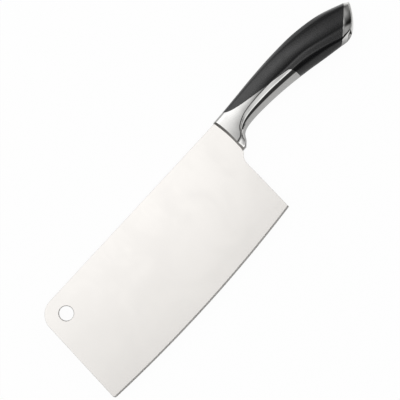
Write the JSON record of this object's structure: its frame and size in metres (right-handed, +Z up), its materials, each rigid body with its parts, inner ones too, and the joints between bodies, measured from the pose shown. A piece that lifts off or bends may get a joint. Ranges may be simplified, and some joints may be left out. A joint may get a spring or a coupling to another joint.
{
  "type": "kitchen cleaver",
  "caption": "Kitchen cleaver with a broad tapered blade, a hanging hole near the tip, a sculpted steel bolster, a curved black moulded grip and a steel end cap.",
  "frame": {"origin": "middle of the cleaver's outline, on the surface that it lies on: the bottom centre of its box as it lies on its right side", "axes": "+X along the spine towards the toe, +Y from the spine towards the cutting edge, +Z up through the left side of the blade"},
  "size_m": [0.2998, 0.082, 0.0204],
  "materials": {
    "blade_steel": "fine satin grind across the blade",
    "bolster_steel": "polished",
    "tang_steel": "as machined",
    "grip_black": "satin moulded",
    "dowel_steel": "as drawn",
    "bed_resin": "as cured",
    "cap_steel": "polished",
    "pin_steel": "as drawn"
  },
  "bodies": {
    "root": {"blade": "blade_steel", "bolster": "bolster_steel", "tang": "tang_steel", "grip_left": "grip_black", "grip_right": "grip_black", "grip_dowels": "dowel_steel", "resin_bed": "bed_resin", "end_cap": "cap_steel", "cap_pin": "pin_steel"}
  },
  "joints": []
}
